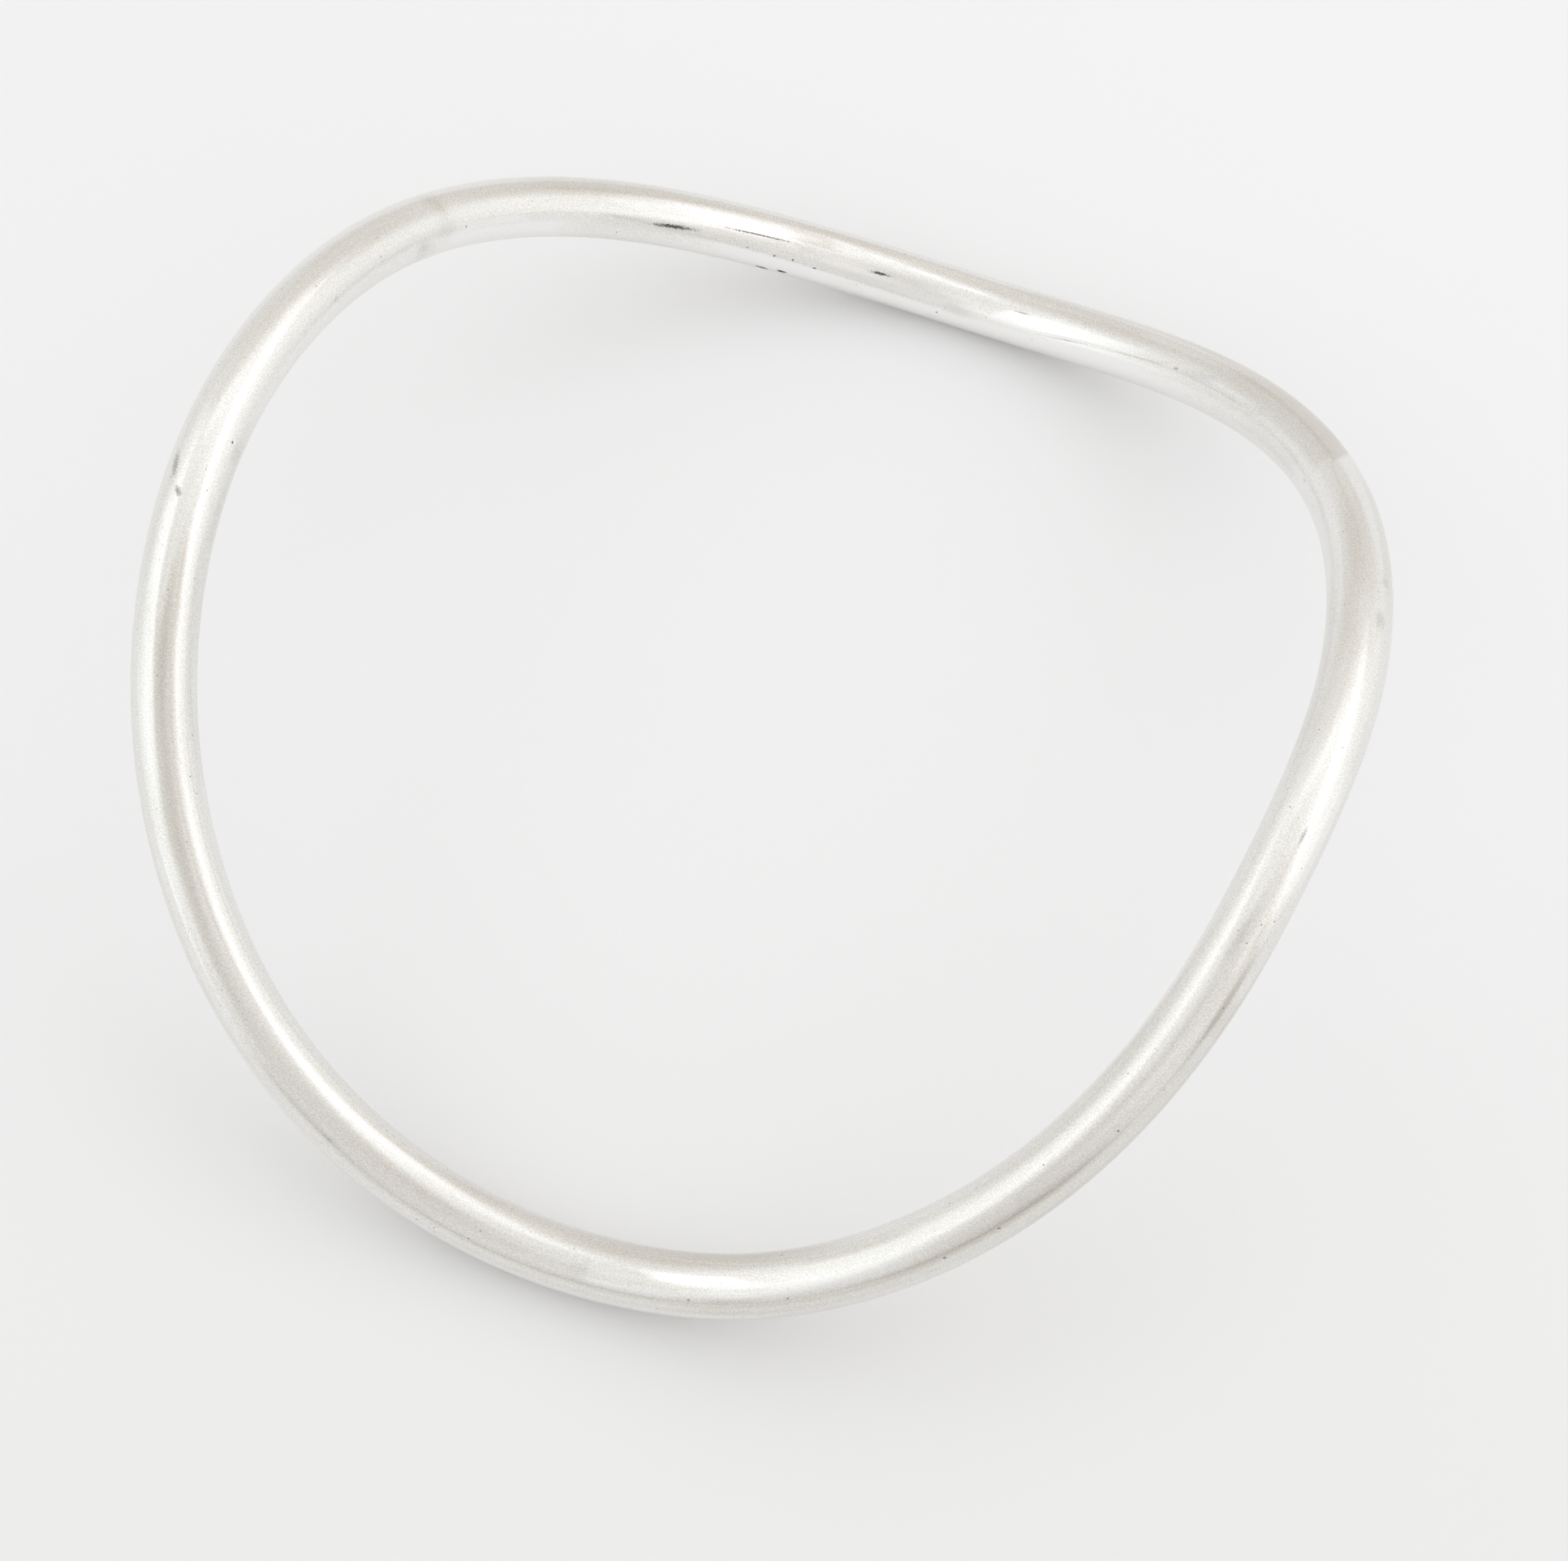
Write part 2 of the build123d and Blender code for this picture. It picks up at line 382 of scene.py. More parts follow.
# Azimuths are clockwise from the camera's own direction. A card with a negative glow is darker than the
# walls round it.
ROOM_CARDS = (
    RoomCard("right window", 78, 44.5, -3, 40, 14, 1.2, (0.08, 0.08, 0.09)),
    RoomCard("bright top of the right window", 88, 49, 2, 40, 9.5, 1.2, (0.12, 0.12, 0.13)),
    RoomCard("glow round the right window", 78, 44, -20, 46, 17, 16, (0.09, 0.09, 0.09)),
    RoomCard("left window", -100, 34, 27, 44, 21, 1.2, (0.05, 0.05, 0.05)),
    RoomCard("bright top of the left window", -93, 52, 5, 28, 7, 1, (0.07, 0.07, 0.08)),
    RoomCard("glow round the left window", -105, 42, 19, 29, 16, 10, (0.11, 0.12, 0.12)),
    RoomCard("glow below the left window", -98, -3, 40, 23, 49, 17, (0.16, 0.18, 0.19)),
    RoomCard("low bright spot", 117, 34, 55, 4.5, 6.5, 3, (0.13, 0.13, 0.13)),
    RoomCard("ceiling patch", 10, 67, -28, 16, 6, 11, (0.18, 0.19, 0.2)),
    RoomCard("front wall", 6, 25, -27, 39, 30, 20, (-0.16, -0.18, -0.2)),
    RoomCard("back wall", 174, 12, 25, 65, 35, 12, (-0.11, -0.12, -0.12)),
    RoomCard("foot of the back wall", 166, -3, 53, 39, 3, 28, (-0.24, -0.26, -0.27)),
    RoomCard("dark line behind the camera", 180, 1, 0, 50, 2, 4, (-0.1, -0.11, -0.12)),
    RoomCard("dark post", 136, 3, 16, 4, 8, 10, (-0.15, -0.16, -0.17)),
    RoomCard("gap beside the right window", 148, 56, 38, 31, 14, 11, (-0.17, -0.19, -0.2)),
    RoomCard("dim patch high behind the camera", 211, 68, 8, 21, 30, 12, (-0.1, -0.1, -0.11)),
)


# Settings

class BangleShape(bpy.types.PropertyGroup):
    """Sizes of the bent tube, from the CAD box and the record where they give them."""

    tube_diameter: bpy.props.FloatProperty(
        name="Tube diameter",
        description="Outside diameter of the round tube",
        default=record_diameter,
        unit="LENGTH",
    )
    opening_at_highs: bpy.props.FloatProperty(
        name="Opening at the highs",
        description="Clear width between the two high places, seen from above",
        default=tube_high[0] - tube_low[0] - 2 * record_diameter,
        unit="LENGTH",
    )
    opening_at_lows: bpy.props.FloatProperty(
        name="Opening at the lows",
        description="Clear width between the two low places, seen from above",
        default=tube_high[1] - tube_low[1] - 2 * record_diameter,
        unit="LENGTH",
    )
    opening_at_shoulders: bpy.props.FloatProperty(
        name="Opening at the shoulders",
        description="Clear width half-way between a high place and a low one, seen from above",
        default=68.5 * MM,
        unit="LENGTH",
    )
    wave_rise: bpy.props.FloatProperty(
        name="Rise of the wave",
        description="How far the high places stand above the low ones",
        default=tube_high[2] - tube_low[2] - record_diameter,
        unit="LENGTH",
    )
    waviness: bpy.props.FloatProperty(
        name="Waviness",
        description="How far the hand-bent skin wanders in and out of a true tube",
        default=0.008 * MM,
        unit="LENGTH",
    )
    steps_along: bpy.props.IntProperty(
        name="Steps along",
        description="Faces along the whole loop",
        default=1080,
        min=24,
    )
    steps_around: bpy.props.IntProperty(
        name="Steps around",
        description="Faces round the tube",
        default=90,
        min=12,
    )


class SilverFinish(bpy.types.PropertyGroup):
    """Colours and polish of the silver."""

    silver_colour: bpy.props.FloatVectorProperty(
        name="Silver",
        description="Colour of the polished silver under its thin film of tarnish",
        default=(0.955, 0.95, 0.935),
        subtype="COLOR",
        min=0,
        max=1,
    )
    film_colour: bpy.props.FloatVectorProperty(
        name="Film",
        description="Colour of the silver under a thick grey-brown film of tarnish",
        default=(0.66, 0.63, 0.575),
        subtype="COLOR",
        min=0,
        max=1,
    )
    film_share: bpy.props.FloatProperty(
        name="Film all over",
        description="How thick the film is between its patches, from none to the film's own colour",
        default=0.3,
        min=0,
        max=1,
        subtype="FACTOR",
    )
    tarnish_colour: bpy.props.FloatVectorProperty(
        name="Tarnish",
        description="Colour of the darkest spots and dashes",
        default=(0.05, 0.045, 0.04),
        subtype="COLOR",
        min=0,
        max=1,
    )
    roughness: bpy.props.FloatProperty(
        name="Roughness",
        description="Roughness of the polished skin between the scratches",
        default=0.095,
        min=0,
        max=1,
        subtype="FACTOR",
    )
    brushing: bpy.props.FloatProperty(
        name="Brushing",
        description="How much rougher the silver is across its polishing lines than along them",
        default=1,
        min=0,
        max=1,
        subtype="FACTOR",
    )
    inner_scuffing: bpy.props.FloatProperty(
        name="Inner scuffing",
        description="How much rougher the side is that faces the hand opening",
        default=0.07,
        min=0,
        max=1,
        subtype="FACTOR",
    )
    edge_tint: bpy.props.FloatVectorProperty(
        name="Edge tint",
        description="What the film leaves of the silver's glancing reflections",
        default=(0.98, 0.975, 0.97),
        subtype="COLOR",
        min=0,
        max=1,
    )
    scratch_depth: bpy.props.FloatProperty(
        name="Scratch depth",
        description="Depth of the hairline scratches",
        default=0.0012 * MM,
        unit="LENGTH",
    )


class PaleStudio(bpy.types.PropertyGroup):
    """Camera, table and soft light round the bangle."""

    camera_azimuth: bpy.props.FloatProperty(
        name="Camera azimuth",
        description="Turn of the camera round the bangle, from in front of the -Y low place",
        default=math.radians(21.14),
        subtype="ANGLE",
    )
    camera_elevation: bpy.props.FloatProperty(
        name="Camera elevation",
        description="Height of the camera above the table, as an angle",
        default=math.radians(62.81),
        subtype="ANGLE",
    )
    camera_roll: bpy.props.FloatProperty(
        name="Camera roll",
        description="Turn of the camera about its own line of sight",
        default=math.radians(-0.38),
        subtype="ANGLE",
    )
    camera_distance: bpy.props.FloatProperty(
        name="Camera distance",
        description="From the camera to the spot of the table that it looks at",
        default=232.75 * MM,
        unit="LENGTH",
    )
    camera_aim: bpy.props.FloatVectorProperty(
        name="Camera aim",
        description="Spot of the table in the middle of the picture",
        default=(1.48 * MM, -1.07 * MM, 0),
        subtype="TRANSLATION",
    )
    lens: bpy.props.FloatProperty(
        name="Lens",
        description="Focal length in millimetres on a 36 mm sensor",
        default=85.82,
        subtype="DISTANCE_CAMERA",
    )
    table_colour: bpy.props.FloatVectorProperty(
        name="Table",
        description="Colour of the pale table, from its middle to its back",
        default=(0.913, 0.914, 0.927),
        subtype="COLOR",
        min=0,
        max=1,
    )
    # Painted shade: the table's colour darkens towards its front, on the camera's side.
    table_front_shade: bpy.props.FloatVectorProperty(
        name="Front of the table",
        description="Colour that the table fades to towards its front",
        default=(0.88, 0.88, 0.887),
        subtype="COLOR",
        min=0,
        max=1,
    )
    table_shade_reach: bpy.props.FloatProperty(
        name="Fade of the table",
        description="How far in front of the middle the table has its front colour",
        default=0.055,
        unit="LENGTH",
    )
    room_radius: bpy.props.FloatProperty(
        name="Radius of the room",
        description="Radius of the table and of the glowing dome that stands on its rim",
        default=0.4,
        unit="LENGTH",
    )
    room_colour: bpy.props.FloatVectorProperty(
        name="Room",
        description="Colour and brightness of the room between the windows",
        default=(0.887, 0.888, 0.876),
        subtype="COLOR",
        min=0,
        max=4,
    )
    room_lean: bpy.props.FloatVectorProperty(
        name="Lean",
        description="How much brighter the room grows to the camera's right, ahead of it and upwards",
        default=(0.084, 0.007, 0.16),
    )
    backdrop_colour: bpy.props.FloatVectorProperty(
        name="Backdrop",
        description="Plain colour behind the table in views that look past its edge",
        default=(0.86, 0.86, 0.85),
        subtype="COLOR",
        min=0,
        max=1,
    )


# Nodes

def add_node(tree, kind, inputs=None, **settings):
    """Adds a node. Inputs maps its sockets to values, or to the sockets that feed them."""
    node = tree.nodes.new(kind)
    for name, value in settings.items():
        setattr(node, name, value)
    for socket_name, value in (inputs or {}).items():
        socket = node.inputs[socket_name]
        if isinstance(value, bpy.types.NodeSocket):
            tree.links.new(value, socket)
        else:
            socket.default_value = value
    return node


def maths(tree, operation, *values):
    """The result of one Math node."""
    return add_node(tree, "ShaderNodeMath", dict(enumerate(values)), operation=operation).outputs[0]


def vector_maths(tree, operation, *values):
    """The vector result of one Vector Math node."""
    return add_node(tree, "ShaderNodeVectorMath", dict(enumerate(values)), operation=operation).outputs[0]


def smooth_step(tree, value, start, end, low=0, high=1):
    """Low up to start, high from end on, and smooth between."""
    inputs = {"Value": value, "From Min": start, "From Max": end, "To Min": low, "To Max": high}
    return add_node(tree, "ShaderNodeMapRange", inputs, interpolation_type="SMOOTHSTEP").outputs["Result"]


def blend_colours(tree, factor, first, second):
    """First at factor 0 and second at 1."""
    # A Mix node has sockets for every kind of value, and 6 and 7 are its two colours
    return add_node(tree, "ShaderNodeMix", {0: factor, 6: first, 7: second}, data_type="RGBA").outputs[2]


def new_group(name, inputs, outputs):
    """A shader node group with its sockets: the tree and its input and output nodes."""
    tree = bpy.data.node_groups.new(name, "ShaderNodeTree")
    for in_out, sockets in (("INPUT", inputs), ("OUTPUT", outputs)):
        for socket_name, kind in sockets.items():
            tree.interface.new_socket(socket_name, in_out=in_out, socket_type="NodeSocket" + kind)
    return tree, tree.nodes.new("NodeGroupInput").outputs, tree.nodes.new("NodeGroupOutput").inputs


def place_group(tree, group, inputs):
    """The outputs of one placed copy of a group."""
    return add_node(tree, "ShaderNodeGroup", inputs, node_tree=group).outputs


def split(tree, vector):
    """The three parts of a vector."""
    return add_node(tree, "ShaderNodeSeparateXYZ", {"Vector": vector}).outputs


def join(tree, x, y, z=0):
    """The vector with these three parts."""
    return add_node(tree, "ShaderNodeCombineXYZ", {"X": x, "Y": y, "Z": z}).outputs["Vector"]


def mesh_value(tree, name, output):
    """A value that the mesh carries at each of its faces or points."""
    return add_node(tree, "ShaderNodeAttribute", attribute_name=name).outputs[output]


def soft_noise(tree, point, scale, detail, roughness=0.5):
    """Noise from 0 to 1, with its mean at a half."""
    inputs = {"Vector": point, "Scale": scale, "Detail": detail, "Roughness": roughness}
    return add_node(tree, "ShaderNodeTexNoise", inputs).outputs["Fac"]


def add_noise(tree, value, noise_value, share):
    """The value raised and lowered by this share of the noise."""
    return maths(tree, "MULTIPLY_ADD", maths(tree, "SUBTRACT", noise_value, 0.5), share, value)


def wear_mark_group():
    """A ragged oval mark on the skin.

    Place holds its millimetres along and around and its turn. Size holds its length, width and softness.
    """
    tree, given, made = new_group(
        "wear_mark",
        {"Skin": "Vector", "Place": "Vector", "Size": "Vector", "Ragged": "Float"},
        {"Mask": "Float"},
    )
    place_along, place_around, turn = split(tree, given["Place"])
    length, width, softness = split(tree, given["Size"])
    offset = vector_maths(tree, "SUBTRACT", given["Skin"], join(tree, place_along, place_around))
    turned = add_node(
        tree, "ShaderNodeVectorRotate", {"Vector": offset, "Angle": turn}, rotation_type="Z_AXIS"
    ).outputs["Vector"]
    half_length = maths(tree, "MULTIPLY", length, 0.5)
    half_width = maths(tree, "MULTIPLY", width, 0.5)
    scaled = vector_maths(tree, "DIVIDE", turned, join(tree, half_length, half_width, 1))
    distance = add_node(tree, "ShaderNodeVectorMath", {0: scaled}, operation="LENGTH").outputs["Value"]
    ragged = add_noise(tree, distance, given["Ragged"], RAGGED_SHARE)
    outer = maths(tree, "ADD", 1, softness)
    inner = maths(tree, "SUBTRACT", 1, softness)
    tree.links.new(smooth_step(tree, ragged, outer, inner), made["Mask"])
    return tree


def specks_group():
    """Scattered dark specks, at most one in each cell."""
    tree, given, made = new_group(
        "specks",
        {"Point": "Vector", "Spacing": "Float", "Size": "Float", "Share": "Float"},
        {"Mask": "Float"},
    )
    scaled = vector_maths(tree, "DIVIDE", given["Point"], given["Spacing"])
    cell = add_node(tree, "ShaderNodeTexVoronoi", {"Vector": scaled, "Scale": 1})
    chance, size_chance, _ = split(tree, cell.outputs["Color"])
    reach = maths(tree, "DIVIDE", given["Size"], given["Spacing"])
    reach = maths(tree, "MULTIPLY", reach, maths(tree, "ADD", size_chance, SPECK_LEAST))
    spot = smooth_step(tree, cell.outputs["Distance"], reach, maths(tree, "MULTIPLY", reach, SPECK_CORE))
    kept = maths(tree, "LESS_THAN", chance, given["Share"])
    tree.links.new(maths(tree, "MULTIPLY", spot, kept), made["Mask"])
    return tree


# Tube

def eased(share):
    """A smooth rise from 0 to 1 as the share, a number or an array, goes from 0 to 1."""
    return share * share * (3 - 2 * share)


def hand_bend(angle):
    """How far the centre line stands outside the true wave, eased from one turning point to the next."""
    loop = math.degrees(angle) % 360
    first = HAND_BENDS[0]
    for start, end in zip(HAND_BENDS, HAND_BENDS[1:] + (HandBend(first.loop + 360, first.outward),)):
        for turned_loop in (loop, loop + 360):
            if start.loop <= turned_loop < end.loop:
                share = (turned_loop - start.loop) / (end.loop - start.loop)
                return (start.outward + (end.outward - start.outward) * eased(share)) * MM
    raise ValueError(f"no hand bend at {loop} degrees")


def centre_radius(shape, angle):
    """Distance from the loop's axis to the tube's centre line, at an angle from the +X high place."""
    at_highs = (shape.opening_at_highs + shape.tube_diameter) / 2
    at_lows = (shape.opening_at_lows + shape.tube_diameter) / 2
    at_shoulders = (shape.opening_at_shoulders + shape.tube_diameter) / 2
    mean = (at_highs + at_lows) / 4 + at_shoulders / 2
    oval = (at_highs - at_lows) / 2
    square = (at_highs + at_lows) / 4 - at_shoulders / 2
    return mean + oval * math.cos(2 * angle) + square * math.cos(4 * angle) + hand_bend(angle)


def centre_point(shape, angle):
    """Point of the tube's centre line at an angle from the +X high place."""
    radius = centre_radius(shape, angle)
    height = shape.tube_diameter / 2 + shape.wave_rise * (1 + math.cos(2 * angle)) / 2
    return Vector((radius * math.cos(angle), radius * math.sin(angle), height))


def section_axes(shape, angle):
    """The tube's outward and upward directions there, both square to its centre line."""
    step = 1e-4
    along = (centre_point(shape, angle + step) - centre_point(shape, angle - step)).normalized()
    outward = Vector((math.cos(angle), math.sin(angle), 0))
    outward = (outward - along * outward.dot(along)).normalized()
    return outward, outward.cross(along)


def ring_angle(shape, ring):
    """The loop angle of one ring of the skin."""
    return math.radians(MAP_LOOP_START) + math.tau * ring / shape.steps_along


def runs_along(shape):
    """Length of the centre line from the first ring to each ring, and back to the first, in millimetres."""
    centres = [centre_point(shape, ring_angle(shape, ring)) for ring in range(shape.steps_along + 1)]
    lengths = [(end - start).length / MM for start, end in zip(centres, centres[1:])]
    return [0.0, *accumulate(lengths)]


def side_width(shape):
    """Width of one face round the tube, in millimetres."""
    return math.pi * shape.tube_diameter / MM / shape.steps_around


def skin_relief(shape, point):
    """How far the skin stands out of a true tube at a point."""
    return shape.waviness * noise.noise(point * WAVINESS_SCALE, noise_basis="PERLIN_ORIGINAL")


def tube_mesh(shape):
    """The closed skin of the tube, mapped in millimetres: u along the loop and v round the tube."""
    rings, sides = shape.steps_along, shape.steps_around
    points = []
    for ring in range(rings):
        centre = centre_point(shape, ring_angle(shape, ring))
        outward, upward = section_axes(shape, ring_angle(shape, ring))
        for side in range(sides):
            skin_angle = math.radians(MAP_SKIN_START) + math.tau * side / sides
            out = outward * math.cos(skin_angle) + upward * math.sin(skin_angle)
            point = centre + out * shape.tube_diameter / 2
            points.append(point + out * skin_relief(shape, point))
    run = runs_along(shape)
    width = side_width(shape)
    faces = []
    skin_map = []
    for ring in range(rings):
        near = ring * sides
        far = (ring + 1) % rings * sides
        for side in range(sides):
            next_side = (side + 1) % sides
            faces.append((near + side, far + side, far + next_side, near + next_side))
            low, high = side * width, (side + 1) * width
            skin_map += [run[ring], low, run[ring + 1], low, run[ring + 1], high, run[ring], high]
    mesh = bpy.data.meshes.new("bangle_skin")
    mesh.from_pydata(points, [], faces)
    mesh.uv_layers.new(name=SKIN_MAP).uv.foreach_set("vector", skin_map)
    mesh.shade_smooth()
    return mesh


def lay_marks(mesh, shape, layer, marks):
    """Tells each face of the skin the place, size and darkness of the mark that lies over it, if any."""
    rings, sides = shape.steps_along, shape.steps_around
    run = runs_along(shape)
    width = side_width(shape)
    places = [0.0] * (3 * rings * sides)
    sizes = [1.0] * (3 * rings * sides)
    darkness = [0.0] * (rings * sides)
    for mark in marks:
        mark_ring = (mark.loop - MAP_LOOP_START) % 360 / 360 * rings
        along = run[int(mark_ring)] + (run[int(mark_ring) + 1] - run[int(mark_ring)]) * (mark_ring % 1)
        around = (mark.skin - MAP_SKIN_START) / 360 * sides * width
        turn = math.radians(mark.turn)
        half_length = mark.length / 2 * (RAGGED_REACH + mark.softness)
        half_width = mark.width / 2 * (RAGGED_REACH + mark.softness)
        reach_along = abs(half_length * math.cos(turn)) + abs(half_width * math.sin(turn))
        reach_around = abs(half_length * math.sin(turn)) + abs(half_width * math.cos(turn))
        first_ring = max(bisect(run, along - reach_along) - 1, 0)
        last_ring = min(bisect(run, along + reach_along), rings)
        first_side = max(math.floor((around - reach_around) / width), 0)
        last_side = min(math.ceil((around + reach_around) / width), sides)
        for ring in range(first_ring, last_ring):
            for side in range(first_side, last_side):
                face = ring * sides + side
                places[3 * face:3 * face + 3] = [along, around, -turn]
                sizes[3 * face:3 * face + 3] = [mark.length, mark.width, mark.softness]
                darkness[face] = mark.darkness
    mesh.attributes.new(layer + "_place", "FLOAT_VECTOR", "FACE").data.foreach_set("vector", places)
    mesh.attributes.new(layer + "_size", "FLOAT_VECTOR", "FACE").data.foreach_set("vector", sizes)
    mesh.attributes.new(layer + "_darkness", "FLOAT", "FACE").data.foreach_set("value", darkness)


def soft_inside(inside, edge):
    """1 well inside a patch and 0 well outside, smooth over the edge between."""
    return eased(np.clip(0.5 + inside / edge, 0, 1))


def lay_film_and_reflections(mesh, shape, finish):
    """Tells each point of the skin how thick its film of tarnish is, along with the bright and dark
    reflections that some patches paint into it.
    """
    loop = np.degrees([ring_angle(shape, ring) for ring in range(shape.steps_along)])
    skin = MAP_SKIN_START + 360 * np.arange(shape.steps_around) / shape.steps_around
    loop, skin = np.meshgrid(loop, skin, indexing="ij")
    film = np.full(loop.shape, finish.film_share)
    for patch in FILM_AND_REFLECTION_PATCHES:
        up = skin - patch.skin
        along = (loop - patch.loop - patch.lean * up + 180) % 360 - 180
        film += (
            patch.amount
            * soft_inside(patch.half_loop + along, patch.low_edge)
            * soft_inside(patch.half_loop - along, patch.high_edge)
            * soft_inside(patch.half_skin - np.abs(up), patch.side_edge)
        )
    # These film values carry the painted reflections as well as the tarnish.
    mesh.attributes.new("film", "FLOAT", "POINT").data.foreach_set("value", film.ravel())


def dark_spots(tree, skin, place_mm):
    """How dark the bangle's own marks and its scattered specks make the silver."""
    ragged = soft_noise(tree, place_mm, scale=RAGGED_SCALE, detail=2)
    mark_group = wear_mark_group()
    dark = 0
    for layer in MARK_LAYERS:
        mask = place_group(tree, mark_group, {
            "Skin": skin,
            "Place": mesh_value(tree, layer + "_place", "Vector"),
            "Size": mesh_value(tree, layer + "_size", "Vector"),
            "Ragged": ragged,
        })["Mask"]
        mask = maths(tree, "MULTIPLY", mask, mesh_value(tree, layer + "_darkness", "Fac"))
        dark = maths(tree, "MAXIMUM", dark, mask)
    specks = place_group(tree, specks_group(), {
        "Point": place_mm, "Spacing": SPECK_SPACING, "Size": SPECK_SIZE, "Share": SPECK_SHARE,
    })["Mask"]
    return maths(tree, "MAXIMUM", dark, maths(tree, "MULTIPLY", specks, SPECK_DARKNESS))


def tarnish_and_painted_reflections(tree, place_mm, hairlines):
    """How thick the film is, with the reflections painted into it: what each point carries, broken up by fine
    grain and by the hairlines.
    """
    grain = soft_noise(tree, place_mm, scale=GRAIN_SCALE, detail=1, roughness=0.8)
    film = add_noise(tree, mesh_value(tree, "film", "Fac"), grain, GRAIN_FILM)
    film = add_noise(tree, film, hairlines, HAIRLINE_FILM)
    return maths(tree, "MAXIMUM", film, 0)


def silver_roughness(tree, finish, around, hairlines, dark):
    """How rough the silver is, with its hairlines, its dark spots and its scuffed inner side."""
    # The hand has scuffed the inner side, from past the top of the tube to near its underside
    onto_inner = smooth_step(tree, around, SCUFF_START, SCUFF_FULL)
    off_inner = smooth_step(tree, around, SCUFF_END, SCUFF_FADE)
    scuffed = maths(tree, "MULTIPLY", onto_inner, off_inner)
    roughness = add_noise(tree, finish.roughness, hairlines, HAIRLINE_ROUGHNESS)
    roughness = maths(tree, "MULTIPLY_ADD", scuffed, finish.inner_scuffing, roughness)
    return maths(tree, "MULTIPLY_ADD", dark, TARNISH_ROUGHNESS, roughness)


def silver_material(finish):
    """Polished silver with a thin film of tarnish, hairlines, specks and the real bangle's own marks, and
    with bright and dark reflections painted into the film.
    """
    material = bpy.data.materials.new("polished_silver")
    material.use_nodes = True
    tree = material.node_tree
    shader = tree.nodes["Principled BSDF"]
    shader.inputs["Metallic"].default_value = 1
    # The gloss spreads across the polishing lines, which run along the tube
    shader.inputs["Anisotropic"].default_value = finish.brushing
    shader.inputs["Anisotropic Rotation"].default_value = QUARTER_TURN
    shader.inputs["Specular Tint"].default_value = (*finish.edge_tint, 1)
    run = add_node(tree, "ShaderNodeTangent", direction_type="UV_MAP", uv_map=SKIN_MAP)
    tree.links.new(run.outputs["Tangent"], shader.inputs["Tangent"])

    skin = add_node(tree, "ShaderNodeUVMap", uv_map=SKIN_MAP).outputs["UV"]
    along, around, _ = split(tree, skin)
    place = add_node(tree, "ShaderNodeTexCoord").outputs["Object"]
    place_mm = add_node(
        tree, "ShaderNodeVectorMath", {0: place, "Scale": 1 / MM}, operation="SCALE"
    ).outputs["Vector"]
    hairline_along = maths(tree, "MULTIPLY", along, HAIRLINES_ALONG)
    hairline_around = maths(tree, "MULTIPLY", around, HAIRLINES_AROUND)
    hairlines = soft_noise(tree, join(tree, hairline_along, hairline_around), scale=1, detail=4)

    dark = dark_spots(tree, skin, place_mm)
    film = tarnish_and_painted_reflections(tree, place_mm, hairlines)
    # The film share also carries the painted reflections, so some lighter and darker tones here are painted
    # reflections and not tarnish.
    clean = blend_colours(tree, film, (*finish.silver_colour, 1), (*finish.film_colour, 1))
    colour = blend_colours(tree, dark, clean, (*finish.tarnish_colour, 1))
    tree.links.new(colour, shader.inputs["Base Color"])
    roughness = silver_roughness(tree, finish, around, hairlines, dark)
    tree.links.new(roughness, shader.inputs["Roughness"])
    bump = add_node(
        tree, "ShaderNodeBump", {"Height": hairlines, "Distance": finish.scratch_depth, "Strength": 1}
    ).outputs["Normal"]
    tree.links.new(bump, shader.inputs["Normal"])
    return material


# Studio

def studio_directions(studio):
    """The camera's right, up and backward directions."""
    azimuth, elevation = studio.camera_azimuth, studio.camera_elevation
    level = math.cos(elevation)
    back = Vector((math.sin(azimuth) * level, -math.cos(azimuth) * level, math.sin(elevation)))
    right = Vector((math.cos(azimuth), math.sin(azimuth), 0))
    up = back.cross(right)
    roll = studio.camera_roll
    turned_right = right * math.cos(roll) + up * math.sin(roll)
    turned_up = up * math.cos(roll) - right * math.sin(roll)
    return turned_right, turned_up, back


def make_camera(studio):
    """The camera that stands where the photograph was taken from."""
    right, up, back = studio_directions(studio)
    camera = bpy.data.objects.new("studio_camera", bpy.data.cameras.new("studio_camera"))
    bpy.context.scene.collection.objects.link(camera)
    camera.data.lens = studio.lens
    camera.data.clip_start = 0.01
    camera.data.clip_end = 20
    place = Vector(studio.camera_aim) + back * studio.camera_distance
    turn = Matrix((right, up, back)).transposed().to_4x4()
    camera.matrix_world = Matrix.Translation(place) @ turn
    bpy.context.scene.camera = camera


def stage_object(name, points, faces, material):
    """A mesh of the studio, which is no part of the bangle."""
    mesh = bpy.data.meshes.new(name)
    mesh.from_pydata(points, [], faces)
    mesh.materials.append(material)
    stage = bpy.data.objects.new(name, mesh)
    bpy.context.scene.collection.objects.link(stage)
    return stage


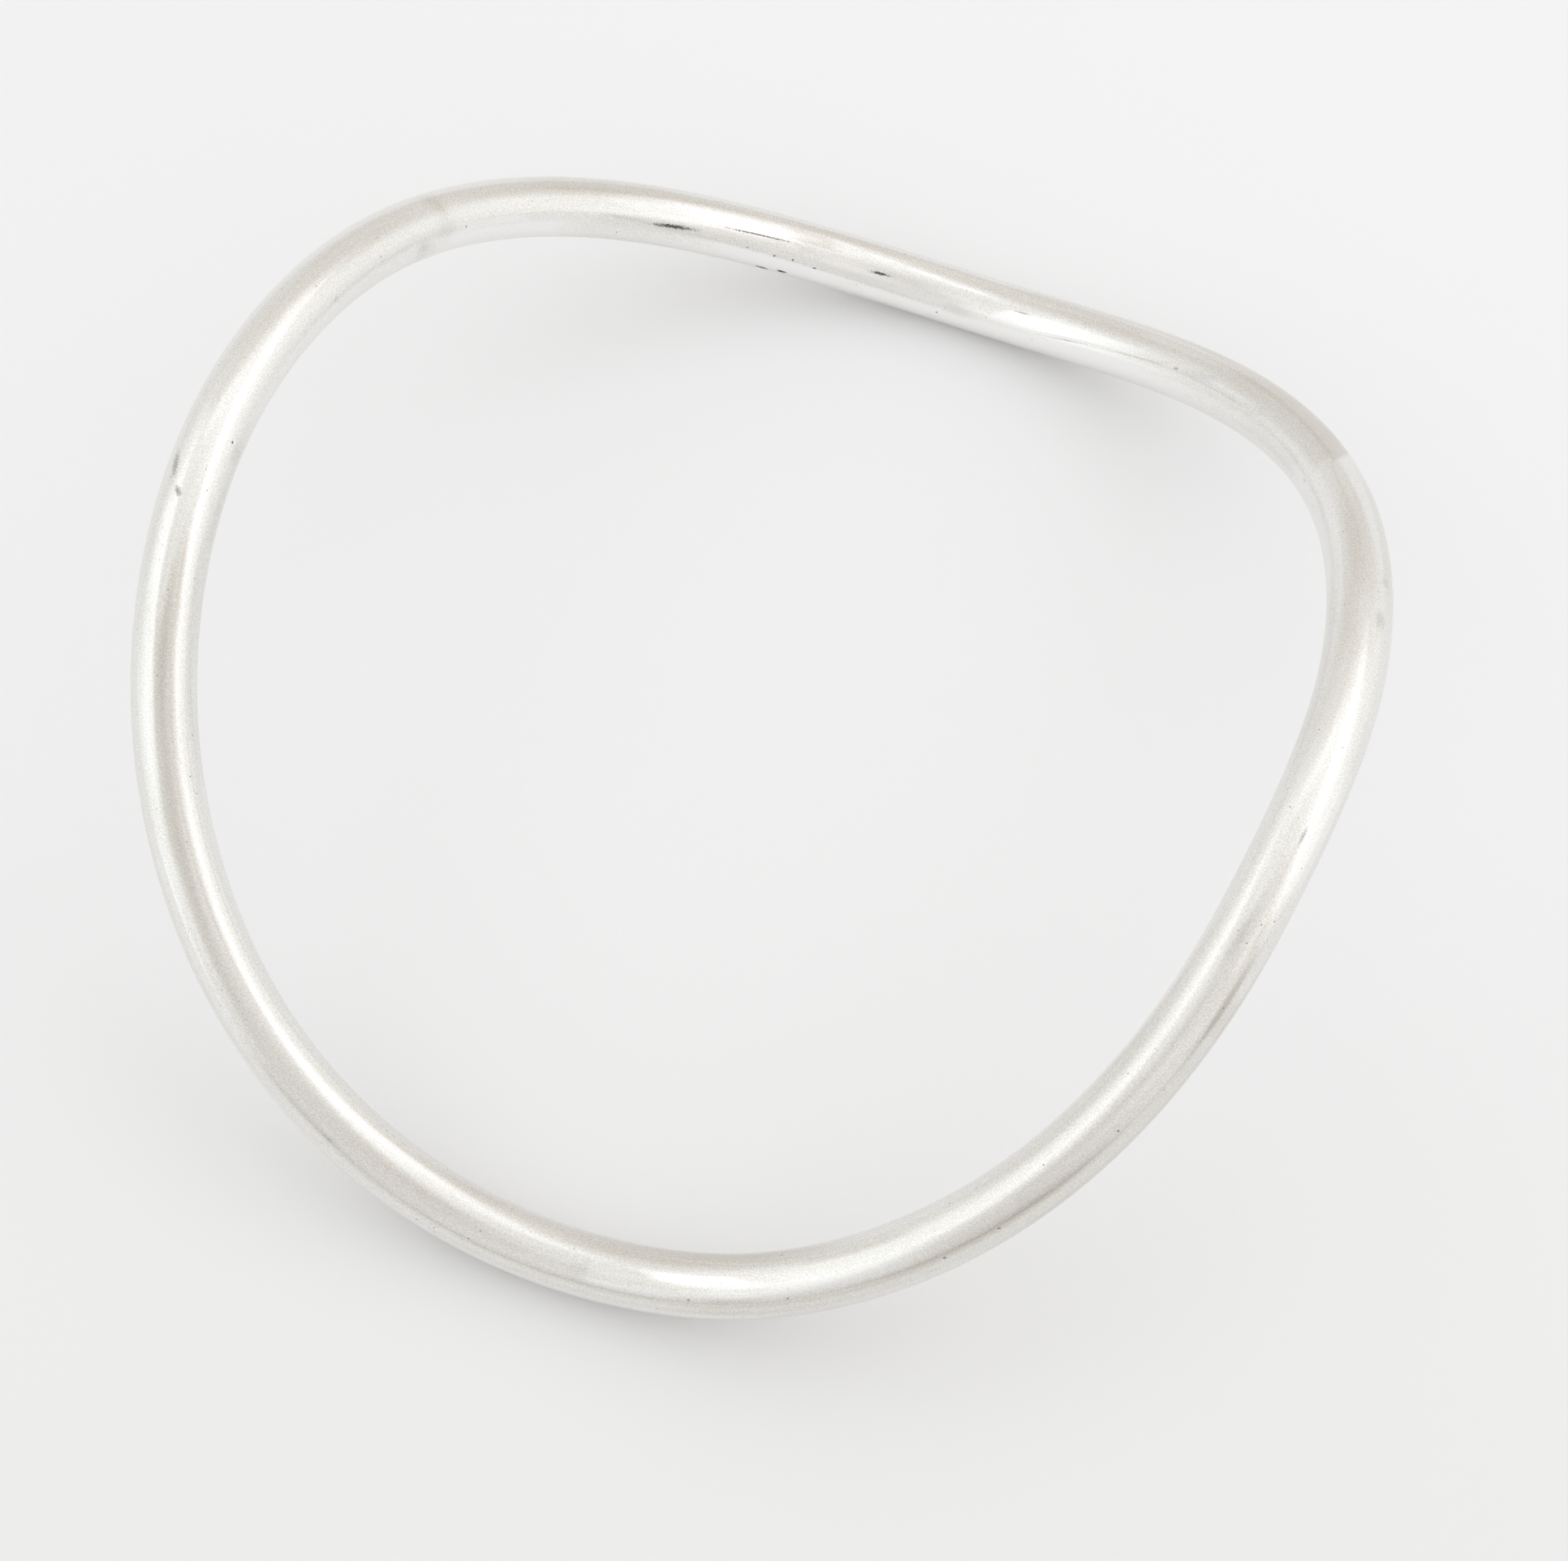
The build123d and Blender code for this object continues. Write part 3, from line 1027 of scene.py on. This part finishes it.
def make_table(studio):
    """The pale round table that the bangle lies on, with shade painted into its colour towards the front."""
    material = bpy.data.materials.new("pale_table")
    material.use_nodes = True
    tree = material.node_tree
    tree.nodes.remove(tree.nodes["Principled BSDF"])
    place = add_node(tree, "ShaderNodeTexCoord").outputs["Object"]
    front = (math.sin(studio.camera_azimuth), -math.cos(studio.camera_azimuth), 0)
    to_front = add_node(
        tree, "ShaderNodeVectorMath", {0: place, 1: front}, operation="DOT_PRODUCT"
    ).outputs["Value"]
    # Painted shade: the colour darkens towards the front of the table.
    fade = smooth_step(tree, to_front, 0, studio.table_shade_reach)
    colour = blend_colours(tree, fade, (*studio.table_colour, 1), (*studio.table_front_shade, 1))
    matt = add_node(tree, "ShaderNodeBsdfDiffuse", {"Color": colour})
    tree.links.new(matt.outputs["BSDF"], tree.nodes["Material Output"].inputs["Surface"])
    rim = [
        (studio.room_radius * math.cos(turn), studio.room_radius * math.sin(turn), 0)
        for turn in (math.tau * side / ROOM_SIDES for side in range(ROOM_SIDES))
    ]
    stage_object("pale_table", rim, [tuple(range(ROOM_SIDES))], material)


def room_light(studio, directions):
    """Colour of the room's light from each of an array of unit directions."""
    forward = np.array((-math.sin(studio.camera_azimuth), math.cos(studio.camera_azimuth), 0))
    right = np.array((math.cos(studio.camera_azimuth), math.sin(studio.camera_azimuth), 0))
    up = np.array((0, 0, 1))
    lean = right * studio.room_lean[0] + forward * studio.room_lean[1] + up * studio.room_lean[2]
    light = np.array(studio.room_colour) + (directions @ lean)[:, None]
    for card in ROOM_CARDS:
        turn = (
            Matrix.Rotation(math.radians(card.roll), 3, "Y")
            @ Matrix.Rotation(math.radians(-card.elevation), 3, "X")
            @ Matrix.Rotation(math.radians(card.azimuth) - studio.camera_azimuth, 3, "Z")
        )
        across, ahead, above = np.array(turn) @ directions.T
        mask = ahead > 0
        for side, half in ((across, card.half_width), (above, card.half_height)):
            inside = half - np.degrees(np.abs(np.arctan2(side, ahead)))
            mask = mask * soft_inside(inside, 2 * card.edge)
        light = light + mask[:, None] * np.array(card.glow)
    return np.maximum(light, LEAST_LIGHT)


def dome_shape():
    """Points and inward faces of a dome with radius 1, open at its foot."""
    points = []
    for step in range(ROOM_LEVELS):
        elevation = math.radians(90 * step / ROOM_LEVELS)
        for side in range(ROOM_SIDES):
            turn = math.tau * side / ROOM_SIDES
            level = math.cos(elevation)
            points.append((level * math.cos(turn), level * math.sin(turn), math.sin(elevation)))
    points.append((0, 0, 1))
    faces = []
    for step in range(ROOM_LEVELS):
        for side in range(ROOM_SIDES):
            next_side = (side + 1) % ROOM_SIDES
            low, high = step * ROOM_SIDES, (step + 1) * ROOM_SIDES
            if step == ROOM_LEVELS - 1:
                faces.append((low + next_side, low + side, high))
            else:
                faces.append((low + next_side, low + side, high + side, high + next_side))
    return points, faces


def make_room(studio):
    """The soft light of a pale room with a window on each side, as a glowing dome over the table."""
    material = bpy.data.materials.new("pale_room")
    material.use_nodes = True
    tree = material.node_tree
    tree.nodes.remove(tree.nodes["Principled BSDF"])
    glow = add_node(tree, "ShaderNodeEmission", {"Color": mesh_value(tree, "room_light", "Color")})
    tree.links.new(glow.outputs["Emission"], tree.nodes["Material Output"].inputs["Surface"])
    material.cycles.emission_sampling = "NONE"
    points, faces = dome_shape()
    dome = stage_object("pale_room", points, faces, material)
    light = room_light(studio, np.array(points))
    colours = np.concatenate((light, np.ones((len(light), 1))), axis=1)
    dome.data.attributes.new("room_light", "FLOAT_COLOR", "POINT").data.foreach_set("color", colours.ravel())
    dome.scale = (studio.room_radius,) * 3
    dome.visible_camera = False


def make_backdrop(studio):
    """The plain colour that the camera sees past the edge of the table."""
    world = bpy.data.worlds.new("backdrop")
    world.cycles.sampling_method = "NONE"
    bpy.context.scene.world = world
    world.use_nodes = True
    world.node_tree.nodes["Background"].inputs["Color"].default_value = (*studio.backdrop_colour, 1)


# Operators and panel

class BANGLE_OT_make_tube(bpy.types.Operator):
    """Makes the silver skin of the tube and stands it in for the CAD tube"""

    bl_idname = "bangle.make_tube"
    bl_label = "Make the tube"

    def execute(self, context):
        scene = context.scene
        mesh = tube_mesh(scene.bangle_shape)
        for layer, marks in MARK_LAYERS.items():
            lay_marks(mesh, scene.bangle_shape, layer, marks)
        lay_film_and_reflections(mesh, scene.bangle_shape, scene.silver_finish)
        mesh.materials.append(silver_material(scene.silver_finish))
        tube = bpy.data.objects.new("bangle_skin", mesh)
        scene.collection.objects.link(tube)
        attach(tube, "root")
        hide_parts(TUBE_NODE)
        return {"FINISHED"}


class BANGLE_OT_set_studio(bpy.types.Operator):
    """Sets the pale table, the room's soft light and the camera round the bangle"""

    bl_idname = "bangle.set_studio"
    bl_label = "Set the studio"

    def execute(self, context):
        studio = context.scene.pale_studio
        make_camera(studio)
        make_table(studio)
        make_room(studio)
        make_backdrop(studio)
        context.scene.view_settings.view_transform = "Standard"
        return {"FINISHED"}


class BANGLE_PT_sidebar(bpy.types.Panel):
    """Lists the bangle's sizes, finish and studio"""

    bl_idname = "BANGLE_PT_sidebar"
    bl_label = "Bangle"
    bl_space_type = "VIEW_3D"
    bl_region_type = "UI"
    bl_category = "Bangle"

    def draw(self, context):
        scene = context.scene
        for group in (scene.bangle_shape, scene.silver_finish, scene.pale_studio):
            box = self.layout.box()
            for name in group.__annotations__:
                box.prop(group, name)
        self.layout.operator(BANGLE_OT_make_tube.bl_idname)
        self.layout.operator(BANGLE_OT_set_studio.bl_idname)


classes = (
    BangleShape,
    SilverFinish,
    PaleStudio,
    BANGLE_OT_make_tube,
    BANGLE_OT_set_studio,
    BANGLE_PT_sidebar,
)


def register():
    """Adds the bangle's classes and settings to Blender."""
    for cls in classes:
        bpy.utils.register_class(cls)
    bpy.types.Scene.bangle_shape = bpy.props.PointerProperty(type=BangleShape)
    bpy.types.Scene.silver_finish = bpy.props.PointerProperty(type=SilverFinish)
    bpy.types.Scene.pale_studio = bpy.props.PointerProperty(type=PaleStudio)


def unregister():
    """Takes them out again."""
    del bpy.types.Scene.pale_studio
    del bpy.types.Scene.silver_finish
    del bpy.types.Scene.bangle_shape
    for cls in reversed(classes):
        bpy.utils.unregister_class(cls)


def main():
    """Builds everything in order."""
    register()
    bpy.ops.bangle.make_tube()
    bpy.ops.bangle.set_studio()


if __name__ == "__main__":
    main()
